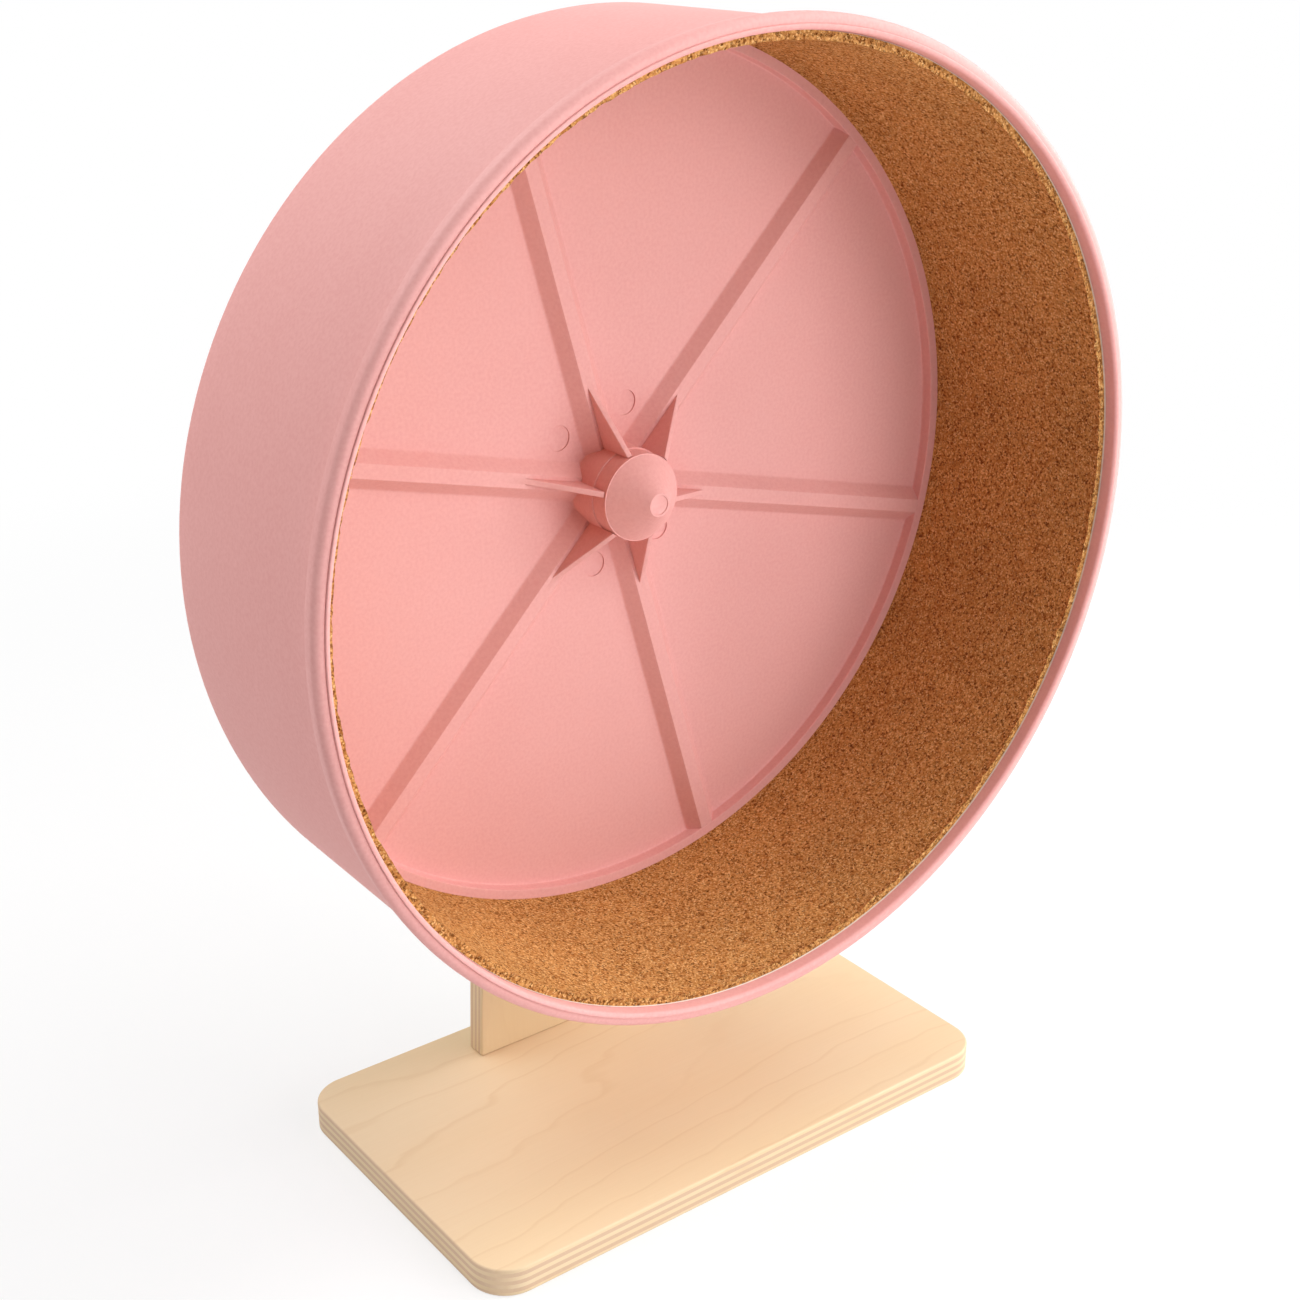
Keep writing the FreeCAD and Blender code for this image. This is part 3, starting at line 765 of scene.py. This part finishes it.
cap_section = rounded([
    (0, dish_y),
    (cap_dish, dish_y, cap_dish_round),
    (cap_dish, cap_low.y, cap_dish_round),
    (cap_tip, cap_low.y, cap_tip_round),
    (hub_radius - cap_rim_width, cap_rim_y),
    (hub_radius, cap_rim_y, cap_rim_round),
    (hub_radius, hub_front_y),
    (bearing_radius, hub_front_y),
    (bearing_radius, cap_high.y, skirt_round),
    (skirt_inner, cap_high.y, skirt_round),
    (skirt_inner, skirt_top_y, skirt_top_round),
    (cap_tip + cap_slope * cap_wall - cap_across, cap_low.y + cap_wall, skirt_round),
    (0, cap_low.y + cap_wall),
])
cap_mesh = grid_mesh("cone_cap", lathe(cap_section, cap_columns))
place_piece("cone_cap", cap_mesh, pink_plastic, "wheel", "pink_plastic", "hub_cap")

# %% [markdown]
# The cork strip lies round the track and ends in a butt seam. A smooth ring would do from far away, but its
# cut front edge is ragged where crumbs broke out, the knife left a burr along it, and its face is slightly
# uneven. Seeded noise, smoothed by a bell curve, moves a fine grid by tenths of a millimetre. The film under
# it is a plain strip of the same kind, whose pale edge stands a little in front of the cork.

# %% Soft random heights
chance = np.random.default_rng(7)


def soft_noise(shape, grain):
    """Random heights, smoothed by a bell curve of a width in cells through their spectrum, spread about 1."""
    across = np.fft.fftfreq(shape[0])[:, None]
    along = np.fft.fftfreq(shape[1])[None, :]
    bell = np.exp(-2 * (np.pi * grain) ** 2 * (across**2 + along**2))
    field = np.fft.ifft2(np.fft.fft2(chance.standard_normal(shape)) * bell).real
    return field / field.std()


print("soft noise ready, from a fixed seed")

# %% A strip round the track
cork_outer = outer_radius("cork_liner") - flare(cork_low.y)
cork_thickness = 2.0 * MM
seam_angle = math.radians(160)
seam_gap = 0.4 * MM
seam_half = seam_gap / 2 / cork_outer
front_zone = 1.5 * MM
chip_grain = 1.2
face_grain = 0.9


def strip_points(inner, outer, columns, rows, forward, relief=0.0, ragged=0.0, burr=0.0):
    """Section of a strip carried from one side of the seam to the other, with both ends closed. The section
    runs down the inner face, over the back, up the outer face and over the front edge. The inner face is
    moved by the relief, and the knife left it proud by a burr along the front. What lies near the front edge
    moves forward, and back again by the ragged edge in proportion to its distance from the outer face. The
    whole strip opens with the wall."""
    face = np.linspace(0, 1, rows)
    depth = np.concatenate([face, [1.0, 0.0], np.zeros(3)])
    share = np.concatenate([np.zeros(rows), [1.0, 1.0], [0.75, 0.5, 0.25]])
    shape = (columns, len(depth))
    y = cork_low.y + depth * (cork_high.y - cork_low.y)
    near_front = np.clip(1 - (y - cork_low.y) / front_zone, 0, 1)
    chipped = (np.abs(soft_noise(shape, chip_grain)) * ragged - forward) * (1 - share) * near_front
    uneven = (soft_noise(shape, face_grain) * relief - burr * near_front) * (1 - share) * (depth < 1)
    radius = inner + share * (outer - inner) + uneven + flare(y)
    angle = np.linspace(seam_angle + seam_half, seam_angle + TURN - seam_half, columns)[:, None]
    points = about_axle(radius, y + chipped, angle)
    middle = np.broadcast_to(points.mean(axis=1, keepdims=True), points.shape)
    return np.concatenate([middle[:1], points, middle[-1:]])


print("the strip's seam is at", round(math.degrees(seam_angle)), "degrees")

# %% Cork strip and film
cork_columns, cork_rows = 1000, 66
film_columns, film_rows = 360, 4
face_relief = 0.07 * MM
edge_ragged = 0.35 * MM
edge_forward = 0.40 * MM
edge_burr = 0.45 * MM
film_forward = 0.6 * MM
cork_inner = cork_outer - cork_thickness
strip = strip_points(
    cork_inner, cork_outer, cork_columns, cork_rows, edge_forward, face_relief, edge_ragged, edge_burr)
cork_mesh = grid_mesh("cork_strip", strip, False)
place_piece("cork_strip", cork_mesh, pressed_cork_finish, "wheel", "cork", "cork_liner")
film = strip_points(cork_outer, wall_radius, film_columns, film_rows, film_forward)
film_mesh = grid_mesh("track_film", film, False)
place_piece("track_film", film_mesh, adhesive_film, "wheel", "adhesive_film", "liner_tape")

# %% [markdown]
# Base and upright are cut from plywood sheet, with edges eased by a quick sanding. A bevelled box would
# serve for the base, but the upright tapers to a round head, so both use one plate function: rings that run
# from a hole or middle point out over the face, round the edge and back along the other face.

# %% Plywood plates
edge_ease = 0.7 * MM
ease_rings = 6
face_shares = np.array([0.0, 0.4, 0.75])


def plate_points(outline, middle, hole, low, thickness):
    """Rings of a plate over its outline, as (a, b, depth). On a face a ring is a share of the way from the
    hole to the edge; on the eased edge it is the outline moved in by ease times (1 - sin q), at a depth of
    ease times (1 - cos q), for q from 0 to a right angle."""
    tangent = unit(np.roll(outline, -1, axis=0) - np.roll(outline, 1, axis=0))
    normal = np.stack([tangent[:, 1], -tangent[:, 0]], axis=1)
    normal *= np.sign(np.sum(normal * (outline - middle)))
    q = np.linspace(0, np.pi / 2, ease_rings)
    inset = edge_ease * (1 - np.sin(q))
    edge = outline[:, None] - normal[:, None] * inset[None, :, None]
    rim = middle + unit(outline - middle) * hole
    face = rim[:, None] + face_shares[None, :, None] * (edge[:, :1] - rim[:, None])
    half = np.concatenate([face, edge], axis=1)
    depth = np.concatenate([np.zeros_like(face_shares), edge_ease * (1 - np.cos(q))])
    flat = np.concatenate([half, half[:, ::-1]], axis=1)
    depths = np.concatenate([low + depth, low + thickness - depth[::-1]])
    return np.concatenate([flat, np.broadcast_to(depths[None, :, None], (*flat.shape[:2], 1))], axis=2)


print("plates have", 2 * (len(face_shares) + ease_rings), "rings")

# %% Places of the screws
screw_low, screw_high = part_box("base_screws")
screw_count = 3
screw_head = 7.0 * MM / 2
screw_shank = 3.5 * MM / 2
screw_x = np.linspace(screw_low.x + screw_head, screw_high.x - screw_head, screw_count)
screw_y = np.full(screw_count, (screw_low.y + screw_high.y) / 2)
screw_places = np.stack([screw_x, screw_y], axis=1)


def post_points(outline, columns=48):
    """A closed outline of (radius, z) carried round an upright line at each screw's place (x, y)."""
    angle = np.linspace(0, TURN, columns, endpoint=False)[None, :, None]
    x = screw_places[:, 0, None, None] + outline[None, None, :, 0] * np.cos(angle)
    y = screw_places[:, 1, None, None] + outline[None, None, :, 0] * np.sin(angle)
    z = np.broadcast_to(outline[None, None, :, 1], x.shape)
    return np.stack([x, y, z], axis=-1)


print("screws at", np.round(screw_places / MM, 1).tolist(), "mm")

# %% Base plate
board_step = 12.0 * MM
overshoot = 1.0 * MM
base_corner = 13.0 * MM
base_corner_steps = 14
hole_clearance = 0.2 * MM
mouth = screw_head + hole_clearance
throat = screw_shank + hole_clearance
base_corners = [
    (base_low.x, base_low.y, base_corner), (base_high.x, base_low.y, base_corner),
    (base_high.x, base_high.y, base_corner), (base_low.x, base_high.y, base_corner)]
base_outline = divided(rounded(base_corners, base_corner_steps), board_step)
base_middle = np.array([(base_low.x + base_high.x) / 2, (base_low.y + base_high.y) / 2])
base_points = plate_points(base_outline, base_middle, 0.0, base_low.z, base_high.z - base_low.z)
countersink = rounded([
    (0, base_low.z - overshoot), (mouth, base_low.z - overshoot), (mouth, screw_low.z),
    (throat, screw_low.z + mouth - throat), (throat, base_high.z + overshoot), (0, base_high.z + overshoot)])
sinks_mesh = grid_mesh("sinks", post_points(countersink))
base_mesh = cut_away(grid_mesh("base_board", base_points), sinks_mesh)
place_piece("base_board", base_mesh, base_birch, "stand", "birch_plywood", "base_plate")

# %% Outline of the upright
# Each side touches the head's circle. Its lean outwards is the angle at the foot between the side and the
# line to the axle, less that line's own lean inwards.
foot_half = (upright_high.x - upright_low.x) / 2
foot_round = 0.9 * MM
head_radius = upright_high.z - axle_z
head_steps = 24
foot_rise = axle_z - upright_low.z
foot_line = math.hypot(foot_half, foot_rise)
lean = math.asin(head_radius / foot_line) - math.atan2(foot_half, foot_rise)
head_corner = head_radius * (1 + math.sin(lean)) / math.cos(lean)
upright_corners = [
    (-foot_half, upright_low.z, foot_round), (foot_half, upright_low.z, foot_round),
    (head_corner, upright_high.z, head_radius), (-head_corner, upright_high.z, head_radius)]
upright_outline = divided(rounded(upright_corners, head_steps), board_step)
print("the upright's sides lean by", round(math.degrees(lean), 2), "degrees")

# %% Upright
shank_radius = 8.0 * MM / 2
shank_clearance = 0.2 * MM
shank_hole = shank_radius + shank_clearance
upright_middle = np.array([0.0, axle_z])
upright_thickness = upright_high.y - upright_low.y
upright_points = plate_points(upright_outline, upright_middle, shank_hole, upright_low.y, upright_thickness)
pilot = rounded([
    (0, upright_low.z - overshoot), (screw_shank, upright_low.z - overshoot),
    (screw_shank, screw_high.z), (0, screw_high.z)])
pilots_mesh = grid_mesh("pilots", post_points(pilot))
upright_mesh = cut_away(grid_mesh("upright_board", upright_points[..., [X, Z, Y]]), pilots_mesh)
place_piece("upright_board", upright_mesh, upright_birch, "stand", "birch_plywood", "upright_plate")

# %% [markdown]
# The axle is a hexagon bolt with nuts, washers and short tubes. Their edges are turned or tumbled, never
# sharp, and a hexagon's corners are cut by a cone, which leaves those curved lines on its flats. Washers and
# tubes are turned outlines; a hexagon is the same idea with a radius that changes with the angle.

# %% Turned fittings
fitting_columns = 96
RING_EASE = {
    "rear_washer": 0.3 * MM,
    "front_washer": 0.3 * MM,
    "axle_sleeve": 0.2 * MM,
    "bearing_spacer": 0.2 * MM,
    "axle_shim": 0.15 * MM,
}


def ring_outline(node, ease):
    """Section of a plain ring that fills a node's box round the shank's hole, with eased edges."""
    low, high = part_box(node)
    radius = outer_radius(node)
    corners = [(shank_hole, low.y), (radius, low.y), (radius, high.y), (shank_hole, high.y)]
    return rounded([(*corner, ease) for corner in corners])


for node, ease in RING_EASE.items():
    ring = grid_mesh(node + "_turned", lathe(ring_outline(node, ease), fitting_columns))
    place_piece(node + "_turned", ring, zinc_steel, "stand", "zinc_steel", node)

# %% Hexagons
SIXTH = TURN / 6
BEVEL = math.pi / 6
face_share = 0.94
bevel_land = 0.02 * MM


def hexagon_points(node, low_y, high_y, before, after):
    """Grid of a hexagon between two depths, with stations (radius, y) before and after it. At an angle a the
    hexagon's radius is the flat's distance over the cosine of the angle from the flat's middle, and a cone
    of 30 degrees takes off what stands out beyond the flats."""
    flat = outer_radius(node) * math.cos(SIXTH / 2)
    angle = np.linspace(0, TURN, fitting_columns, endpoint=False)[:, None]
    hexagon = flat / np.cos(angle % SIXTH - SIXTH / 2)
    drop = (hexagon - flat) * math.tan(BEVEL)
    stations = before + [
        (face_share * flat, low_y), (hexagon, low_y + drop + bevel_land),
        (hexagon, high_y - drop - bevel_land), (face_share * flat, high_y)] + after
    radii = np.concatenate([np.broadcast_to(radius, angle.shape) for radius, _ in stations], axis=1)
    depths = np.concatenate([np.broadcast_to(y, angle.shape) for _, y in stations], axis=1)
    return about_axle(radii, depths, angle)


print("hexagons have", fitting_columns, "columns")

# %% Nuts and bolt
nut_lead = 0.5 * MM
bolt_lead = 0.6 * MM
for node in ("clamp_nut", "axle_nut"):
    low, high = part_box(node)
    lead_radius = shank_radius + nut_lead
    bore = [(shank_radius, high.y - nut_lead), (shank_radius, low.y + nut_lead), (lead_radius, low.y)]
    nut = grid_mesh(node + "_hexagon", hexagon_points(node, low.y, high.y, bore, [(lead_radius, high.y)]))
    place_piece(node + "_hexagon", nut, zinc_steel, "stand", "zinc_steel", node)
bolt_low, bolt_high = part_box("axle_bolt")
bolt_head_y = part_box("rear_washer")[1].y
shank = [
    (0.0, bolt_low.y), (shank_radius - bolt_lead, bolt_low.y),
    (shank_radius, bolt_low.y + bolt_lead), (shank_radius, bolt_head_y)]
bolt_points = hexagon_points("axle_bolt", bolt_head_y, bolt_high.y, shank, [(0.0, bolt_high.y)])
bolt = grid_mesh("hexagon_bolt", bolt_points)
place_piece("hexagon_bolt", bolt, zinc_steel, "stand", "zinc_steel", "axle_bolt")

# %% [markdown]
# What is left of the bare model is already the right shape: the bearings' rings, balls, cages and shields,
# and the wood screws. They could be drawn again, but they are small and mostly hidden, so they only take
# their finishes.

# %% Finishes for the bare pieces that stay
kept = {"base_screws": zinc_steel}
for end in ("front_bearing", "rear_bearing"):
    for part in ("outer_ring", "inner_ring", "balls"):
        kept[end + "_" + part] = bearing_steel
    for part in ("front_shield", "rear_shield"):
        kept[end + "_" + part] = shield_steel
    kept[end + "_cage"] = cage_nylon
for node, finish in kept.items():
    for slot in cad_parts[node].material_slots:
        slot.material = finish
print("finished", len(kept), "bare pieces")

# %% [markdown]
# The studio is a pale floor that runs out of sight under a white surround, and six square softboxes stand
# round the object. One sun and a bright world would be quicker, but they light the drum's inside and its
# outside alike. So the surround gives almost no light and is white only to the camera. The floor glows to
# the camera too, more so further out, so that it fades to white and keeps the shadow.

# %% Floor finish
FLOOR_GREY = 0.92
FLOOR_GLOW = 0.65
GLOW_START, GLOW_END = 0.25, 0.80


def seen_directly(tree):
    """1 for rays from the camera, from a shiny surface or through glass, and 0 for light that bounces."""
    paths = ["Is Camera Ray", "Is Glossy Ray", "Is Transmission Ray"]
    rays = [tree.node("ShaderNodeLightPath", None, None, path) for path in paths]
    return tree.math("MAXIMUM", rays[0], tree.math("MAXIMUM", rays[1], rays[2]))


floor_material, tree, place = new_material("pale_floor")
away = place.node("ShaderNodeVectorMath", {"operation": "LENGTH"}, {0: place}, 1)
shine = (FLOOR_GLOW + (1.0 - FLOOR_GLOW) * away.step(GLOW_START, GLOW_END)) * seen_directly(tree)
matt = tree.node("ShaderNodeBsdfDiffuse", None, {"Color": colour(FLOOR_GREY, FLOOR_GREY, FLOOR_GREY)})
glow = tree.node("ShaderNodeEmission", None, {"Color": colour(1, 1, 1), "Strength": 1.0})
mixed = tree.node("ShaderNodeMixShader", None, {0: shine, 1: matt, 2: glow})
tree.node("ShaderNodeOutputMaterial", None, {"Surface": mixed})
print(floor_material.name, "with", len(floor_material.node_tree.nodes), "nodes")

# %% Floor
FLOOR_REACH = 20.0
floor_lines = 9
line_places = np.linspace(-FLOOR_REACH, FLOOR_REACH, floor_lines)
floor_x, floor_y = np.meshgrid(line_places, line_places)
floor_places = np.stack([floor_x, floor_y, np.zeros_like(floor_x)], axis=-1).reshape(-1, 3)
floor_index = np.arange(floor_lines**2).reshape(floor_lines, floor_lines)
floor_faces = np.stack(
    [floor_index[:-1, :-1], floor_index[:-1, 1:], floor_index[1:, 1:], floor_index[1:, :-1]], axis=-1)
floor_mesh = bpy.data.meshes.new("floor")
floor_mesh.from_pydata(floor_places.tolist(), [], floor_faces.reshape(-1, 4).tolist())
floor_mesh.materials.append(floor_material)
floor = into_scene("floor", floor_mesh)
print("floor reaches", FLOOR_REACH, "m each way")

# %% White surround
WORLD_LIGHT = 0.03
world = bpy.data.worlds.new("white_surround")
world.use_nodes = True
world.node_tree.nodes.clear()
tree = Socket(world.node_tree)
lit = tree.node("ShaderNodeBackground", None, {"Color": colour(1, 1, 1), "Strength": WORLD_LIGHT})
plain = tree.node("ShaderNodeBackground", None, {"Color": colour(1, 1, 1), "Strength": 1.0})
both = tree.node("ShaderNodeMixShader", None, {0: seen_directly(tree), 1: lit, 2: plain})
tree.node("ShaderNodeOutputWorld", None, {"Surface": both})
bpy.context.scene.world = world
print("surround gives a light of", WORLD_LIGHT)

# %% Lamps
# For each lamp: degrees around, degrees above, metres away, metres wide, watts.
LAMPS = {
    "side": (70, 20, 1.0, 0.7, 7.6),
    "front": (20, 12, 1.0, 0.7, 6.5),
    "high": (75, 48, 1.0, 0.7, 3.9),
    "top": (15, 58, 1.0, 0.7, 2.4),
    "left": (-110, 42, 1.0, 0.8, 5.5),
    "behind": (-160, 45, 1.0, 0.8, 4.1),
}
aim = np.array([0.0, -20.0 * MM, axle_z])


def stand_at(made, right, up, backwards, place):
    """Set an object at a place, with its own x, y and z axes along three directions."""
    turned = np.eye(4)
    turned[:3] = np.stack([right, up, backwards, place], axis=1)
    made.matrix_world = Matrix(turned.tolist())


def lamp(name, around, above, away, wide, power):
    """Square softbox of a width in metres, some way from the drum's middle, in a direction given in degrees:
    around from the front towards the right, and above the level. With those angles a and h, x is cos h sin a,
    y is minus cos h cos a, and z is sin h."""
    data = bpy.data.lights.new(name, "AREA")
    data.shape = "SQUARE"
    data.size = wide
    data.energy = power
    a = math.radians(around)
    h = math.radians(above)
    backwards = np.array([math.cos(h) * math.sin(a), -math.cos(h) * math.cos(a), math.sin(h)])
    sideways = unit(np.cross((0.0, 0.0, 1.0), backwards))
    made = into_scene(name, data)
    stand_at(made, sideways, np.cross(backwards, sideways), backwards, aim + away * backwards)
    made.visible_camera = False


for lamp_name, place_and_power in LAMPS.items():
    lamp(lamp_name, *place_and_power)
print("lamps:", ", ".join(LAMPS))

# %% [markdown]
# The camera stands to the front left, a little above, and looks down into the drum. Its place and turn were
# found by fitting the rim, the cork's edges and the base's corners. A lens could be guessed by eye, but the
# far and near rims only agree with one distance.

# %% Camera
PICTURE_WIDTH = 1300
FOCAL_PIXELS = 1963.0
SENSOR = 36.0
camera_place = np.array([-341.6, -455.36, 404.75]) * MM
yaw = 0.6447
pitch = 0.3972
roll = -0.003
forward = np.array([math.sin(yaw) * math.cos(pitch), math.cos(yaw) * math.cos(pitch), -math.sin(pitch)])
level_right = np.array([math.cos(yaw), -math.sin(yaw), 0.0])
level_up = np.cross(level_right, forward)
right = math.cos(roll) * level_right + math.sin(roll) * level_up
up = math.cos(roll) * level_up - math.sin(roll) * level_right
camera_data = bpy.data.cameras.new("camera")
camera_data.sensor_width = SENSOR
camera_data.lens = FOCAL_PIXELS / PICTURE_WIDTH * SENSOR
camera_data.clip_start = 0.01
camera_data.clip_end = 100.0
camera = into_scene("camera", camera_data)
stand_at(camera, right, up, -forward, camera_place)
bpy.context.scene.camera = camera
bpy.context.scene.view_settings.view_transform = "Standard"
print("camera lens", round(camera_data.lens, 2), "mm")
